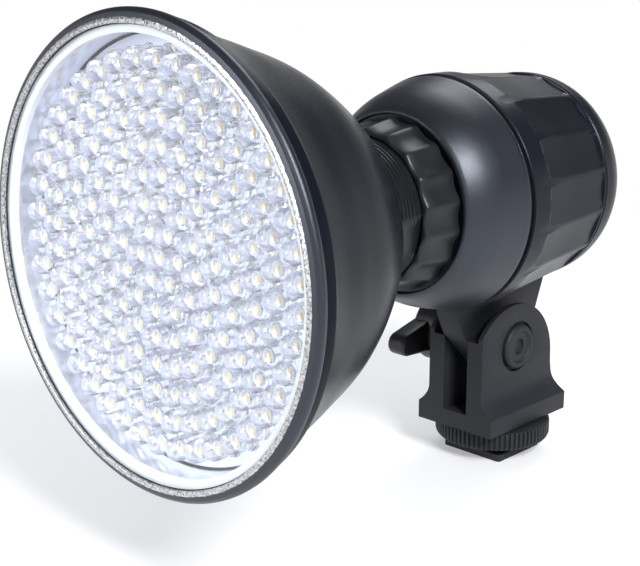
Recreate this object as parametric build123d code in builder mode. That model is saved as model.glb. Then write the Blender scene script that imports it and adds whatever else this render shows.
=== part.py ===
import os
from math import acos, atan2, cos, hypot, radians, sin, sqrt

from build123d import *

os.makedirs("parts", exist_ok=True)

# On-camera LED light on a tilting hot-shoe bracket, in millimetres.
# Origin: centre of the foot's underside. +Z up, the light faces -Y, it tilts about X.
# A station is a place along the head, given as a Y value.

# ---------------------------------------------------------------- driving sizes
# Hot-shoe foot and lock wheel
foot_width = 18.6
foot_depth = 18.0
foot_thickness = 2.0
foot_corner = 1.0
rail_gap = 1.8
stem_radius = 6.0
stem_key_width = 8.0
stem_key_height = 2.0
foot_screw_radius = 1.7
foot_screw_length = 9.5
foot_screw_head_radius = 3.5
foot_screw_head_height = 1.8
foot_screw_socket = 2.5
foot_screw_socket_depth = 1.2
wheel_radius = 15.2
wheel_thickness = 5.0
wheel_bevel = 1.0
wheel_groove_count = 72
wheel_groove_depth = 0.5
wheel_groove_width = 0.55

# Forked bracket
base_width = 24.0
base_depth = 32.6
base_setback = 0.3
base_height = 4.8
base_corner = 0.8
flare_height = 5.3
ear_depth = 30.0
fork_width = 17.2
floor_thickness = 4.5
pivot_height = 30.2
ear_crown = 11.6
ear_crown_lead = 1.8
ear_front_rise = 4.9
ear_rear_drop = 5.0
shoulder_rise = 3.8
cheek_thickness = 1.4

# Pivot bolt, washer and knob
bolt_radius = 3.0
bolt_head_radius = 5.9
bolt_head_height = 2.2
bolt_head_bevel = 0.5
bolt_rim = 1.2
bolt_dish_depth = 0.5
bolt_socket = 4.0
bolt_socket_depth = 1.2
counterbore_gap = 0.75
counterbore_depth = 1.2
washer_radius = 7.0
washer_thickness = 0.6
knob_hub_radius = 9.4
knob_hub_inner_radius = 8.2
knob_hub_length = 10.6
knob_hub_bevel = 1.2
knob_wing_thickness = 5.6
knob_wing_reach = 19.0
knob_wing_root = 11.0
knob_wing_tip_radius = 3.0
knob_wing_bevel = 0.8
knob_droop = 5.0
insert_radius = 5.0
insert_length = 8.0
bolt_end_gap = 1.0

# Tongue under the barrel
tongue_thickness = 7.0
tongue_nose_radius = 8.2
tongue_front_knee_reach = 15.8
tongue_front_knee_rise = 4.4
tongue_rear_knee_reach = 14.5
tongue_rear_knee_rise = 6.3
flare_front_land = 3.9
flare_front_rise = 13.3
flare_front_hollow = 2.8
flare_rear_reach = 18.1
flare_top_gap = 0.7
tongue_screw_radius = 1.45
tongue_screw_length = 8.0
tongue_screw_head_radius = 2.6
tongue_screw_head_height = 1.4
tongue_screw_inset = 5.25
tongue_screw_gap = 0.85

# Head: lengths, from the rear face forwards
head_clearance = 2.0
head_overhang = 19.5
cap_length = 11.2
cap_seam = 0.3
barrel_ring_length = 5.8
gasket_width = 1.0
dome_length = 16.2
neck_reach = 22.3
bowl_length = 47.6
band_length = 2.9
bezel_length = 3.4

# Head: walls and steps, from the battery's bore outwards
barrel_rear_wall = 2.1
barrel_middle_wall = 3.4
barrel_ring_wall = 4.6
spigot_wall = 1.6
gasket_step = 0.9
dome_rear_step = 0.3
dome_waist_step = 1.6
dome_waist_reach = 11.5
dome_shoulder_step = 3.9
dome_shoulder_reach = 4.5
dome_cavity_front_step = 2.0
dome_cavity_rear_step = 0.6
cap_shoulder_step = 3.1
cap_shoulder_rise = 2.1
cap_face_step = 8.7
neck_radius = 17.2
neck_root_step = 0.4
mouth_gap = 0.6
dome_lip_wall = 1.0
edge_bevel = 0.3

# Bowl: how far the bell has drawn in behind its front step, and how far it spreads from the neck
rim_radius = 50.0
band_step = 1.3
bowl_step = 0.6
bowl_lip_reach = 6.4
bowl_lip_draw = 2.6
bowl_waist_reach = 15.4
bowl_waist_draw = 5.6
bowl_belly_reach = 27.4
bowl_belly_draw = 10.15
bowl_haunch_reach = 39.4
bowl_haunch_spread = 12.5
bowl_heel_reach = 44.9
bowl_heel_spread = 6.2
bowl_wall = 1.6

# Head: walls, bores and flutes
flute_count = 16
flute_depth = 0.65
flute_rear_depth = 0.55
flute_cutter_radius = 80.0
flute_runout = 2.2
flute_rear_land = 0.8
spigot_length = 4.5
mouth_depth = 1.2
bulkhead_thickness = 1.5
cap_wall = 1.8
cap_sleeve_length = 6.0
cap_sleeve_wall = 1.3
cap_corner_length = 3.8
cap_corner_step = 2.0
neck_wall = 2.6
neck_key_width = 6.0
neck_key_depth = 0.8
neck_key_turn = 12.0
neck_flange_step = 3.0
neck_flange_thickness = 1.4

# Lock collar
collar_length = 10.2
collar_insertion = 0.6
collar_front_wall = 1.8
collar_rear_wall = 3.3
collar_bevel = 0.6
collar_scallop_count = 18
collar_scallop_depth = 0.8
collar_scallop_radius = 9.0

# Front optics
lip_step = 1.7
lip_width = 1.4
lip_thickness = 0.9
bead_radius = 1.2
bead_reach = 1.9
lens_thickness = 1.0
lens_cover = 0.5
lens_seat = 2.3
reflector_thickness = 0.5
reflector_length = 6.5
board_thickness = 1.2
board_play = 0.2
board_seat = 1.4

# LEDs: a centre lamp, then rings of six more each time
led_ring_count = 7
led_first_ring_count = 6
led_edge_gap = 0.6
led_radius = 2.5
led_height = 7.2
led_tip_height = 1.8
led_tip_radius = 1.4
led_sides = 8
led_ring_turns = (0.0, 22.0, 4.7, 10.5, 1.9, 6.5, 3.0)

# Driver board
driver_radius = 26.0
driver_thickness = 1.6
standoff_length = 8.0
standoff_radius = 2.5
standoff_reach = 21.0
standoff_count = 3

# Battery sled, switch and button
cell_count = 6
cell_radius = 7.1
cell_length = 50.5
cell_nub_radius = 2.75
cell_nub_height = 1.5
sled_spine_radius = 7.4
sled_plate_thickness = 1.5
sled_front_rim = 0.7
sled_front_play = 1.6
sled_side_play = 0.4
sled_rear_step = 2.0
switch_radius = 6.5
switch_height = 3.0
leaf_width = 5.0
leaf_length = 6.0
leaf_pad = 2.4
leaf_thickness = 0.4
leaf_lift = 2.4
button_radius = 5.6
button_flange_radius = 6.2
button_flange_thickness = 0.8
button_recess = 0.2
button_length = 2.6
button_travel = 1.2

# Clearances
running_fit = 0.1
slide_gap = 0.3
wheel_gap = 0.6
seat_gap = 0.05

# ---------------------------------------------------------------- derived places
wheel_bottom = foot_thickness + rail_gap
wheel_top = wheel_bottom + wheel_thickness
base_bottom = wheel_top + wheel_gap
base_top = base_bottom + base_height
floor_height = base_bottom + floor_thickness
base_front = -base_depth / 2 - base_setback
base_rear = base_front + base_depth
ear_rear = base_front + ear_depth
pivot_y = base_front + ear_depth / 2
ear_face = fork_width / 2
slot_half = tongue_thickness / 2 + slide_gap
cheek_inner = ear_face - cheek_thickness
shoulder_height = pivot_height + shoulder_rise
ear_top = pivot_height + ear_crown
ear_front_height = pivot_height + ear_front_rise
ear_rear_height = pivot_height - ear_rear_drop

head_seat = ear_face - counterbore_depth
counterbore_radius = bolt_head_radius + counterbore_gap
bolt_front = head_seat + bolt_head_height
washer_outer = ear_face + washer_thickness
knob_inner = washer_outer + slide_gap
knob_outer = knob_inner + knob_hub_length
insert_outer = knob_inner + insert_length
bolt_end = insert_outer - bolt_end_gap

cell_circle = sled_spine_radius + slide_gap + cell_radius
sled_front_radius = cell_circle + cell_radius + sled_front_rim
sled_rear_radius = sled_front_radius - sled_rear_step
sleeve_inner = sled_front_radius + sled_side_play
sleeve_outer = sleeve_inner + cap_sleeve_wall
barrel_bore_radius = sleeve_outer + slide_gap
spigot_radius = barrel_bore_radius + spigot_wall
barrel_rear_radius = barrel_bore_radius + barrel_rear_wall
barrel_middle_radius = barrel_bore_radius + barrel_middle_wall
barrel_ring_radius = barrel_bore_radius + barrel_ring_wall
gasket_radius = barrel_ring_radius - gasket_step
axis_height = ear_top + head_clearance + barrel_ring_radius
head_plane = Plane(origin=(0, 0, axis_height), x_dir=(0, 1, 0), z_dir=(1, 0, 0))
optical_axis = Axis((0, 0, axis_height), (0, 1, 0))

rear_face = head_overhang
cap_front = rear_face - cap_length
cap_floor = rear_face - cap_wall
barrel_rear = cap_front - cap_seam
sled_rear_face = cap_floor - sled_plate_thickness
cell_rear = sled_rear_face - leaf_lift
cell_front = cell_rear - cell_length
sled_front = cell_front - sled_plate_thickness
bulkhead_rear = sled_front - sled_front_play
mouth_floor = bulkhead_rear - bulkhead_thickness
dome_front = mouth_floor - mouth_depth
dome_rear = dome_front + dome_length
barrel_front = dome_rear + gasket_width
bowl_back = dome_front - neck_reach
bowl_front = bowl_back - bowl_length
band_front = bowl_front - band_length
lip_front = band_front - bezel_length

ring_rear = barrel_front + barrel_ring_length
spigot_front = dome_rear - spigot_length
collar_rear = dome_front + collar_insertion
collar_front = collar_rear - collar_length

collar_bore_radius = neck_radius + slide_gap
collar_front_radius = collar_bore_radius + collar_front_wall
collar_rear_radius = collar_bore_radius + collar_rear_wall
mouth_radius = collar_rear_radius + mouth_gap
neck_root_radius = neck_radius + neck_root_step
neck_bore_radius = neck_radius - neck_wall

band_radius = rim_radius - band_step
bowl_front_radius = band_radius - bowl_step
lip_outer_radius = rim_radius - lip_step
lip_inner_radius = lip_outer_radius - lip_width
lens_radius = lip_inner_radius + lens_cover
optic_radius = lens_radius - lens_seat
lens_front = lip_front + lip_thickness
lens_rear = lens_front + lens_thickness
board_front = band_front + reflector_length
board_rear = board_front + board_thickness
liner_radius = optic_radius + reflector_thickness
bowl_bore = liner_radius + seat_gap
board_radius = optic_radius - board_play
board_pocket = board_radius + seat_gap
led_ring_pitch = (optic_radius - led_edge_gap - led_radius) / led_ring_count
driver_front = board_rear + standoff_length

button_face = rear_face - button_recess
button_bottom = button_face - button_length
switch_face = button_bottom - button_travel - slide_gap
switch_bottom = switch_face - switch_height
screw_seat = axis_height - sqrt(barrel_bore_radius**2 - tongue_screw_head_radius**2)
barrel_middle = (barrel_front + barrel_rear) / 2
flare_front_tip = barrel_front + flare_front_land
sleeve_front = cap_front - cap_sleeve_length
tongue_screw_spots = [
    (0, flare_front_tip + tongue_screw_inset),
    (0, sleeve_front - tongue_screw_gap - tongue_screw_head_radius),
]


# ---------------------------------------------------------------- shared shapes
def turn(points, mode=Mode.ADD):
    """Turn a closed outline of (station, radius) points about the head's axis."""
    with BuildSketch(head_plane) as outline:
        with BuildLine():
            Polyline(*points, close=True)
        make_face()
    revolve(outline.sketch, axis=optical_axis, mode=mode)


def turn_ring(front, rear, outer, inner=0.0, mode=Mode.ADD):
    """Turn a plain ring, or a disc where the inner radius is zero."""
    turn([(front, inner), (front, outer), (rear, outer), (rear, inner)], mode)


def turn_curve(curve, tail, mode=Mode.ADD):
    """Turn an outline that follows a smooth curve and is closed by straight lines."""
    with BuildSketch(head_plane) as outline:
        with BuildLine():
            Spline(*curve)
            Polyline(curve[-1], *tail, curve[0])
        make_face()
    revolve(outline.sketch, axis=optical_axis, mode=mode)


def inset(points, wall):
    """Move the inner points of an outline one wall inwards, square to their neighbours."""
    moved = []
    for before, here, after in zip(points, points[1:], points[2:]):
        run = after[0] - before[0]
        rise = after[1] - before[1]
        share = wall / hypot(run, rise)
        moved.append((here[0] + rise * share, here[1] - run * share))
    return moved


def groove_cutter(distance, outline):
    """Turn one groove cutter about a line above the head's axis and level with it."""
    plane = Plane(origin=(0, 0, axis_height + distance), x_dir=(0, 1, 0), z_dir=(1, 0, 0))
    with BuildPart() as cutter:
        with BuildSketch(plane):
            with BuildLine():
                Polyline((outline[0][0], 0), *outline, (outline[-1][0], 0), close=True)
            make_face()
        revolve(axis=Axis(plane.origin, (0, 1, 0)))
    return cutter.part


def cut_round(cutter, count):
    """Cut copies of one cutter evenly round the head's axis."""
    for index in range(count):
        add(cutter.rotate(optical_axis, index * 360 / count), mode=Mode.SUBTRACT)


def ring_spots(radius, count, first=0.0):
    """Spread places evenly round the head's axis, from an angle measured from +X to +Z."""
    spots = []
    for index in range(count):
        angle = radians(first + index * 360 / count)
        spots.append((radius * cos(angle), 0, radius * sin(angle)))
    return spots


def pin_along_x(start, end, radius, mode=Mode.ADD):
    """Extrude a round pin or bore on the pivot's axis between two X values."""
    plane = Plane(origin=(start, pivot_y, pivot_height), x_dir=(0, 1, 0), z_dir=(1, 0, 0))
    with BuildSketch(plane) as disc:
        Circle(radius)
    extrude(disc.sketch, amount=end - start, mode=mode)


def touch(reach, rise, radius, way):
    """Find where a straight edge from an outside point touches a round nose on the pivot."""
    angle = atan2(rise, reach) + way * acos(radius / hypot(reach, rise))
    return (pivot_y + radius * cos(angle), pivot_height + radius * sin(angle))


def save(part, name):
    """Label one finished piece and write it."""
    part.label = name
    export_step(part, f"parts/{name}.step")


# ---------------------------------------------------------------- foot screw
with BuildPart() as screw_blank:
    with BuildSketch(Plane.XY.offset(floor_height - foot_screw_length)):
        Circle(foot_screw_radius)
    extrude(amount=foot_screw_length)
    with BuildSketch(Plane.XY.offset(floor_height - foot_screw_head_height)):
        Circle(foot_screw_radius)
    with BuildSketch(Plane.XY.offset(floor_height)):
        Circle(foot_screw_head_radius)
    loft()
with BuildPart() as foot_screw:
    add(screw_blank.part)
    with BuildSketch(Plane.XY.offset(floor_height - foot_screw_socket_depth)):
        RegularPolygon(foot_screw_socket / 2, 6, major_radius=False)
    extrude(amount=foot_screw_socket_depth, mode=Mode.SUBTRACT)
save(foot_screw.part, "foot_screw")

# ---------------------------------------------------------------- foot
with BuildPart() as shoe_foot:
    with BuildSketch(Plane.XY):
        RectangleRounded(foot_width, foot_depth, foot_corner)
    extrude(amount=foot_thickness)
    with BuildSketch(Plane.XY.offset(foot_thickness)):
        Circle(stem_radius)
    extrude(amount=base_bottom - foot_thickness)
    with BuildSketch(Plane.XY.offset(base_bottom)):
        Rectangle(stem_key_width, stem_key_width)
    extrude(amount=stem_key_height)
    add(screw_blank.part, mode=Mode.SUBTRACT)
save(shoe_foot.part, "shoe_foot")

# ---------------------------------------------------------------- lock wheel
with BuildPart() as shoe_wheel:
    with BuildSketch(Plane.XY.offset(wheel_bottom)):
        Circle(wheel_radius)
    extrude(amount=wheel_thickness)
    chamfer(shoe_wheel.edges().group_by(Axis.Z)[0], length=wheel_bevel)
    with BuildSketch(Plane.XY.offset(wheel_bottom)):
        with PolarLocations(wheel_radius, wheel_groove_count):
            Rectangle(2 * wheel_groove_depth, wheel_groove_width)
        Circle(stem_radius + running_fit)
    extrude(amount=wheel_thickness, mode=Mode.SUBTRACT)
save(shoe_wheel.part, "shoe_wheel")

# ---------------------------------------------------------------- forked bracket
side_plane = Plane(origin=(-base_width / 2, 0, 0), x_dir=(0, 1, 0), z_dir=(1, 0, 0))
front_plane = Plane(origin=(0, base_rear, 0), x_dir=(1, 0, 0), z_dir=(0, -1, 0))
ear_crown_place = pivot_y - ear_crown_lead
with BuildPart() as clevis_bracket:
    with BuildSketch(side_plane):
        with BuildLine():
            Polyline(
                (base_front, ear_front_height),
                (base_front, base_bottom),
                (base_rear, base_bottom),
                (base_rear, base_top),
            )
            Bezier(
                (base_rear, base_top),
                (ear_rear, (base_top + ear_rear_height) / 2),
                (ear_rear, ear_rear_height),
            )
            ThreePointArc(
                (ear_rear, ear_rear_height),
                (ear_crown_place, ear_top),
                (base_front, ear_front_height),
            )
        make_face()
    extrude(amount=base_width)
    with BuildSketch(front_plane):
        with BuildLine():
            Polyline(
                (0, base_bottom),
                (base_width / 2, base_bottom),
                (base_width / 2, base_top),
            )
            Bezier(
                (base_width / 2, base_top),
                (ear_face, base_top + flare_height / 2),
                (ear_face, base_top + flare_height),
            )
            Polyline((ear_face, base_top + flare_height), (ear_face, ear_top), (0, ear_top))
            mirror(about=Plane.YZ)
        make_face()
    extrude(amount=base_depth, mode=Mode.INTERSECT)
    with BuildSketch(front_plane):
        with Locations((0, floor_height)):
            Rectangle(2 * slot_half, ear_top, align=(Align.CENTER, Align.MIN))
        with Locations((0, shoulder_height)):
            Rectangle(2 * cheek_inner, ear_top, align=(Align.CENTER, Align.MIN))
    extrude(amount=base_depth, mode=Mode.SUBTRACT)
    pin_along_x(-ear_face, ear_face, bolt_radius + seat_gap, Mode.SUBTRACT)
    pin_along_x(head_seat, ear_face, counterbore_radius, Mode.SUBTRACT)
    with BuildSketch(Plane.XY.offset(base_bottom)):
        Rectangle(stem_key_width, stem_key_width)
    extrude(amount=stem_key_height, mode=Mode.SUBTRACT)
    add(screw_blank.part, mode=Mode.SUBTRACT)
    fillet(clevis_bracket.edges().filter_by(Axis.Z).group_by(Axis.Y)[-1], base_corner)
save(clevis_bracket.part, "clevis_bracket")

# ---------------------------------------------------------------- pivot bolt
bolt_face_plane = Plane(origin=(bolt_front, pivot_y, pivot_height), x_dir=(0, 1, 0), z_dir=(1, 0, 0))
with BuildPart() as pivot_bolt:
    pin_along_x(-bolt_end, head_seat, bolt_radius)
    pin_along_x(head_seat, bolt_front, bolt_head_radius)
    chamfer(pivot_bolt.edges().group_by(Axis.X)[-1], length=bolt_head_bevel)
    with BuildSketch(bolt_face_plane):
        Circle(bolt_head_radius - bolt_head_bevel - bolt_rim)
    extrude(amount=-bolt_dish_depth, mode=Mode.SUBTRACT)
    with BuildSketch(bolt_face_plane):
        RegularPolygon(bolt_socket / 2, 6, major_radius=False)
    extrude(amount=-bolt_socket_depth - bolt_dish_depth, mode=Mode.SUBTRACT)
save(pivot_bolt.part, "pivot_bolt")

# ---------------------------------------------------------------- washer
with BuildPart() as knob_washer:
    pin_along_x(-washer_outer, -ear_face, washer_radius)
    pin_along_x(-washer_outer, -ear_face, bolt_radius + seat_gap, Mode.SUBTRACT)
save(knob_washer.part, "knob_washer")

# ---------------------------------------------------------------- knob insert
with BuildPart() as knob_insert:
    pin_along_x(-insert_outer, -knob_inner, insert_radius)
    pin_along_x(-insert_outer, -knob_inner, bolt_radius + running_fit, Mode.SUBTRACT)
save(knob_insert.part, "knob_insert")

# ---------------------------------------------------------------- knob
knob_plane = Plane(
    origin=(-knob_outer, pivot_y, pivot_height),
    x_dir=(0, -cos(radians(knob_droop)), -sin(radians(knob_droop))),
    z_dir=(1, 0, 0),
)
wing_end = knob_wing_reach - knob_wing_tip_radius
with BuildPart() as tilt_knob:
    with BuildSketch(knob_plane):
        for way in (1, -1):
            with BuildLine():
                Polyline(
                    (way * wing_end, knob_wing_tip_radius),
                    (0, knob_wing_root / 2),
                    (0, -knob_wing_root / 2),
                    (way * wing_end, -knob_wing_tip_radius),
                )
                ThreePointArc(
                    (way * wing_end, -knob_wing_tip_radius),
                    (way * knob_wing_reach, 0),
                    (way * wing_end, knob_wing_tip_radius),
                )
            make_face()
    extrude(amount=knob_wing_thickness)
    chamfer(tilt_knob.faces().sort_by(Axis.X)[0].edges(), length=knob_wing_bevel)
    with BuildSketch(knob_plane.offset(knob_hub_length)):
        Circle(knob_hub_inner_radius)
    with BuildSketch(knob_plane.offset(knob_hub_bevel)):
        Circle(knob_hub_radius)
    loft()
    with BuildSketch(knob_plane.offset(knob_hub_bevel)):
        Circle(knob_hub_radius)
    with BuildSketch(knob_plane):
        Circle(knob_hub_radius - knob_hub_bevel)
    loft()
    pin_along_x(-insert_outer, -knob_inner, insert_radius + seat_gap, Mode.SUBTRACT)
save(tilt_knob.part, "tilt_knob")

# ---------------------------------------------------------------- tongue screws
with BuildPart() as tongue_screws:
    with BuildSketch(Plane.XY.offset(screw_seat)):
        with Locations(*tongue_screw_spots):
            Circle(tongue_screw_radius)
    extrude(amount=-tongue_screw_length)
    with BuildSketch(Plane.XY.offset(screw_seat)):
        with Locations(*tongue_screw_spots):
            Circle(tongue_screw_head_radius)
    extrude(amount=tongue_screw_head_height)
save(tongue_screws.part, "tongue_screws")

# ---------------------------------------------------------------- barrel
flute_distance = barrel_ring_radius + flute_cutter_radius
flute_outline = [
    (ring_rear - flute_runout, flute_cutter_radius - flute_depth),
    (ring_rear + flute_runout, flute_cutter_radius + flute_depth),
    (barrel_middle, flute_distance - barrel_middle_radius + flute_depth),
    (barrel_rear - flute_rear_land, flute_distance - barrel_rear_radius + flute_rear_depth),
]
with BuildPart() as barrel_shell:
    turn(
        [
            (ring_rear, barrel_ring_radius),
            (barrel_middle, barrel_middle_radius),
            (barrel_rear, barrel_rear_radius),
            (barrel_rear, 0),
            (spigot_front, 0),
            (spigot_front, spigot_radius),
            (barrel_front, spigot_radius),
            (barrel_front, barrel_ring_radius - edge_bevel),
            (barrel_front + edge_bevel, barrel_ring_radius),
        ]
    )
    turn_ring(spigot_front, barrel_rear, barrel_bore_radius, mode=Mode.SUBTRACT)
    cut_round(groove_cutter(flute_distance, flute_outline), flute_count)
    add(tongue_screws.part, mode=Mode.SUBTRACT)
save(barrel_shell.part, "barrel_shell")

# ---------------------------------------------------------------- tongue
flare_rear_tip = pivot_y + flare_rear_reach
flare_front_height = pivot_height + flare_front_rise
flare_top = axis_height - barrel_rear_radius - flare_top_gap
front_knee = (pivot_y - tongue_front_knee_reach, pivot_height + tongue_front_knee_rise)
rear_knee = (pivot_y + tongue_rear_knee_reach, pivot_height + tongue_rear_knee_rise)
nose_front = touch(-tongue_front_knee_reach, tongue_front_knee_rise, tongue_nose_radius, 1)
nose_rear = touch(tongue_rear_knee_reach, tongue_rear_knee_rise, tongue_nose_radius, -1)
flare_middle = (
    (front_knee[0] + flare_front_tip) / 2,
    (front_knee[1] + flare_front_height) / 2 - flare_front_hollow / 2,
)
tongue_plane = Plane(origin=(-tongue_thickness / 2, 0, 0), x_dir=(0, 1, 0), z_dir=(1, 0, 0))
with BuildPart() as tilt_tongue:
    with BuildSketch(tongue_plane):
        with BuildLine():
            ThreePointArc(nose_front, (pivot_y, pivot_height - tongue_nose_radius), nose_rear)
            Polyline(
                nose_rear,
                rear_knee,
                (flare_rear_tip, flare_top),
                (barrel_rear, flare_top),
                (barrel_rear, screw_seat),
                (flare_front_tip, screw_seat),
                (flare_front_tip, flare_front_height),
            )
            Bezier((flare_front_tip, flare_front_height), flare_middle, front_knee)
            Line(front_knee, nose_front)
        make_face()
    extrude(amount=tongue_thickness)
    pin_along_x(-slot_half, slot_half, bolt_radius + running_fit, Mode.SUBTRACT)
    turn_ring(spigot_front, barrel_rear, barrel_bore_radius + seat_gap, mode=Mode.SUBTRACT)
    add(barrel_shell.part, mode=Mode.SUBTRACT)
    add(tongue_screws.part, mode=Mode.SUBTRACT)
save(tilt_tongue.part, "tilt_tongue")

# ---------------------------------------------------------------- gasket
with BuildPart() as seam_gasket:
    turn_ring(dome_rear, barrel_front, gasket_radius, spigot_radius)
save(seam_gasket.part, "seam_gasket")

# ---------------------------------------------------------------- dome
with BuildPart() as dome_shell:
    turn_curve(
        [
            (dome_front, mouth_radius + dome_lip_wall),
            (dome_front + dome_shoulder_reach, barrel_ring_radius - dome_shoulder_step),
            (dome_front + dome_waist_reach, barrel_ring_radius - dome_waist_step),
            (dome_rear, barrel_ring_radius - dome_rear_step),
        ],
        [(dome_rear, 0), (dome_front, 0)],
    )
    turn_ring(dome_front, mouth_floor, mouth_radius, mode=Mode.SUBTRACT)
    turn_ring(mouth_floor, bulkhead_rear, neck_radius + seat_gap, mode=Mode.SUBTRACT)
    turn(
        [
            (bulkhead_rear, 0),
            (bulkhead_rear, barrel_bore_radius - dome_cavity_front_step),
            (spigot_front, barrel_bore_radius + dome_cavity_rear_step),
            (spigot_front, spigot_radius + seat_gap),
            (dome_rear, spigot_radius + seat_gap),
            (dome_rear, 0),
        ],
        Mode.SUBTRACT,
    )
save(dome_shell.part, "dome_shell")

# ---------------------------------------------------------------- bowl
bell = [
    (bowl_front, bowl_front_radius),
    (bowl_front + bowl_lip_reach, bowl_front_radius - bowl_lip_draw),
    (bowl_front + bowl_waist_reach, bowl_front_radius - bowl_waist_draw),
    (bowl_front + bowl_belly_reach, bowl_front_radius - bowl_belly_draw),
    (bowl_front + bowl_haunch_reach, neck_root_radius + bowl_haunch_spread),
    (bowl_front + bowl_heel_reach, neck_root_radius + bowl_heel_spread),
    (bowl_back, neck_root_radius),
]
cavity = [(board_rear, board_radius - board_seat)] + inset(bell, bowl_wall)[1:]
cavity_back = cavity[-1][0]
with BuildPart() as bowl_shell:
    turn_curve(
        bell,
        [
            (bowl_back, 0),
            (band_front, 0),
            (band_front, band_radius - edge_bevel),
            (band_front + edge_bevel, band_radius),
            (bowl_front, band_radius),
        ],
    )
    turn_ring(band_front, board_front, bowl_bore, mode=Mode.SUBTRACT)
    turn_ring(board_front, board_rear, board_pocket, mode=Mode.SUBTRACT)
    turn_curve(cavity, [(cavity_back, 0), (board_rear, 0)], Mode.SUBTRACT)
    turn_ring(cavity_back, bowl_back, neck_radius + seat_gap, mode=Mode.SUBTRACT)
save(bowl_shell.part, "bowl_shell")

# ---------------------------------------------------------------- neck
with BuildPart() as neck_tube:
    turn_ring(cavity_back, bulkhead_rear, neck_radius)
    turn_ring(cavity_back - neck_flange_thickness, cavity_back, neck_radius + neck_flange_step)
    turn_ring(cavity_back - neck_flange_thickness, bulkhead_rear, neck_bore_radius, mode=Mode.SUBTRACT)
    with BuildSketch(Plane(origin=(0, bowl_back, axis_height), z_dir=(0, 1, 0), x_dir=(1, 0, 0))):
        with PolarLocations(neck_radius, 1, start_angle=-neck_key_turn):
            Rectangle(2 * neck_key_depth, neck_key_width)
    extrude(amount=mouth_floor - bowl_back, mode=Mode.SUBTRACT)
save(neck_tube.part, "neck_tube")

# ---------------------------------------------------------------- lock collar
scallop_distance = collar_front_radius - collar_scallop_depth + collar_scallop_radius
collar_growth = collar_rear_radius - collar_front_radius
scallop_outline = [
    (collar_front, collar_scallop_radius),
    (collar_rear, collar_scallop_radius - collar_growth),
]
with BuildPart() as lock_collar:
    turn(
        [
            (collar_front, collar_bore_radius),
            (collar_front, collar_front_radius - collar_bevel),
            (collar_front + collar_bevel, collar_front_radius),
            (collar_rear, collar_rear_radius),
            (collar_rear, collar_bore_radius),
        ]
    )
    cut_round(groove_cutter(scallop_distance, scallop_outline), collar_scallop_count)
save(lock_collar.part, "lock_collar")

# ---------------------------------------------------------------- front bezel
bead_station = lip_front + bead_reach
bead_circle = rim_radius - bead_radius
with BuildPart() as front_bezel:
    with BuildSketch(head_plane):
        with BuildLine():
            Polyline(
                (bead_station + bead_radius, bead_circle),
                (band_front, bead_circle - bead_radius / 2),
                (band_front, lens_radius + seat_gap),
                (lens_front, lens_radius + seat_gap),
                (lens_front, lip_inner_radius),
                (lip_front, lip_inner_radius),
                (lip_front, lip_outer_radius),
                (bead_station - bead_radius, bead_circle),
            )
            ThreePointArc(
                (bead_station - bead_radius, bead_circle),
                (bead_station, rim_radius),
                (bead_station + bead_radius, bead_circle),
            )
        make_face()
    revolve(axis=optical_axis)
save(front_bezel.part, "front_bezel")

# ---------------------------------------------------------------- clear front
with BuildPart() as front_lens:
    turn_ring(lens_front, lens_rear, lens_radius)
save(front_lens.part, "front_lens")

# ---------------------------------------------------------------- white ring under the lens
with BuildPart() as lens_ring:
    turn_ring(lens_rear, band_front, lens_radius, optic_radius)
save(lens_ring.part, "lens_ring")

# ---------------------------------------------------------------- bright liner
with BuildPart() as reflector_wall:
    turn_ring(band_front, board_front, liner_radius, optic_radius)
save(reflector_wall.part, "reflector_wall")

# ---------------------------------------------------------------- LED board
with BuildPart() as led_board:
    turn_ring(board_front, board_rear, board_radius)
save(led_board.part, "led_board")

# ---------------------------------------------------------------- LEDs
lamp_plane = Plane(origin=(0, board_front, axis_height), x_dir=(1, 0, 0), z_dir=(0, -1, 0))
led_body_height = led_height - led_tip_height
with BuildPart() as lamp:
    with BuildSketch(lamp_plane):
        RegularPolygon(led_radius, led_sides)
    extrude(amount=led_body_height)
    with BuildSketch(lamp_plane.offset(led_body_height)):
        RegularPolygon(led_radius, led_sides)
    with BuildSketch(lamp_plane.offset(led_height)):
        RegularPolygon(led_tip_radius, led_sides)
    loft()
lamp_spots = [(0, 0, 0)]
for ring, ring_turn in zip(range(1, led_ring_count + 1), led_ring_turns):
    lamp_spots += ring_spots(ring * led_ring_pitch, ring * led_first_ring_count, ring_turn)
with BuildPart() as led_lamps:
    with Locations(*lamp_spots):
        add(lamp.part, clean=False)
save(led_lamps.part, "led_lamps")

# ---------------------------------------------------------------- driver board
with BuildPart() as driver_board:
    turn_ring(driver_front, driver_front + driver_thickness, driver_radius)
save(driver_board.part, "driver_board")

# ---------------------------------------------------------------- board standoffs
standoff_plane = Plane(origin=(0, board_rear, axis_height), x_dir=(1, 0, 0), z_dir=(0, 1, 0))
with BuildPart() as board_standoffs:
    with BuildSketch(standoff_plane):
        with PolarLocations(standoff_reach, standoff_count, start_angle=90):
            Circle(standoff_radius)
    extrude(amount=standoff_length)
save(board_standoffs.part, "board_standoffs")

# ---------------------------------------------------------------- rear cap
with BuildPart() as rear_cap:
    turn_curve(
        [
            (cap_front, barrel_rear_radius),
            (rear_face - cap_shoulder_rise, barrel_rear_radius - cap_shoulder_step),
            (rear_face, barrel_rear_radius - cap_face_step),
        ],
        [(rear_face, 0), (cap_front, 0)],
    )
    turn_ring(sleeve_front, cap_front, sleeve_outer)
    turn(
        [
            (sleeve_front, 0),
            (sleeve_front, sleeve_inner),
            (cap_floor - cap_corner_length, sleeve_inner),
            (cap_floor, sleeve_inner - cap_corner_step),
            (cap_floor, 0),
        ],
        Mode.SUBTRACT,
    )
    turn_ring(cap_floor, rear_face, button_radius + slide_gap, mode=Mode.SUBTRACT)
save(rear_cap.part, "rear_cap")

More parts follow.
